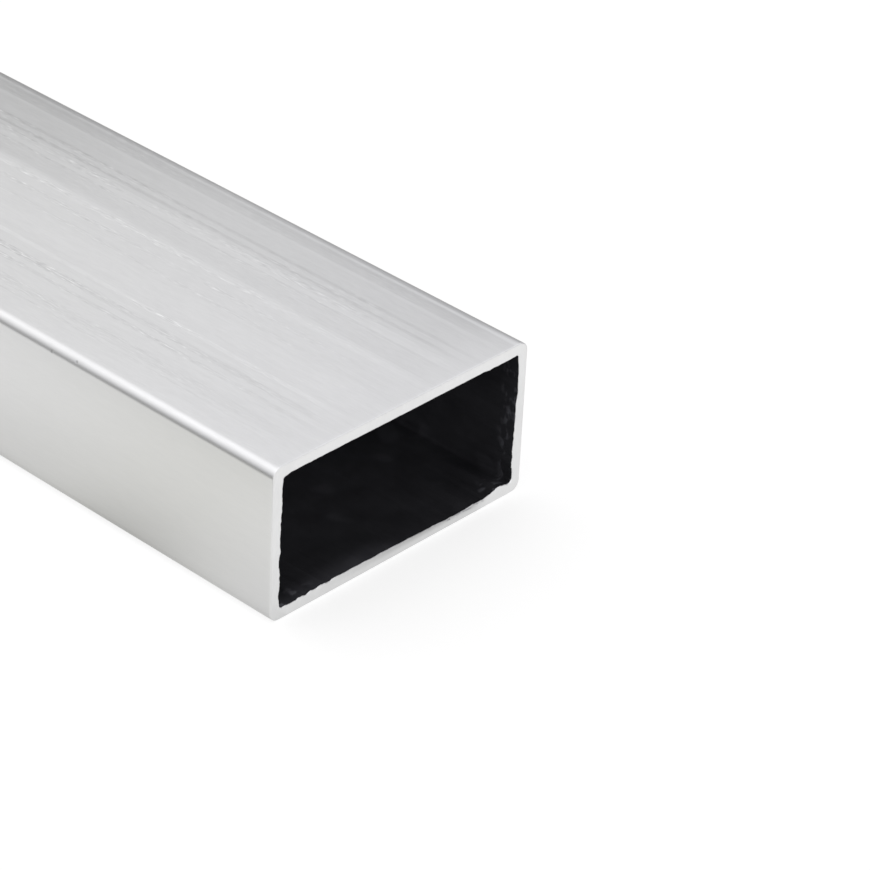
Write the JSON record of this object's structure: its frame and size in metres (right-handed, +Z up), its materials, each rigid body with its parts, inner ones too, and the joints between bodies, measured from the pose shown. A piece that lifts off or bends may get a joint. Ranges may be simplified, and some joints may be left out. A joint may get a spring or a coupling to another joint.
{
  "type": "rectangular aluminium tube",
  "caption": "Straight hollow bar of rectangular section with rounded long edges, an even wall and ends sawn square, left in its plain mill finish.",
  "frame": {"origin": "middle of the wide face that the tube lies on", "axes": "+X along the tube, +Y across its width, +Z up through its height"},
  "size_m": [1, 0.06, 0.03],
  "materials": {
    "mill_aluminium": "mill finish, fine die lines along the length"
  },
  "bodies": {
    "root": {"tube": "mill_aluminium"}
  },
  "joints": []
}
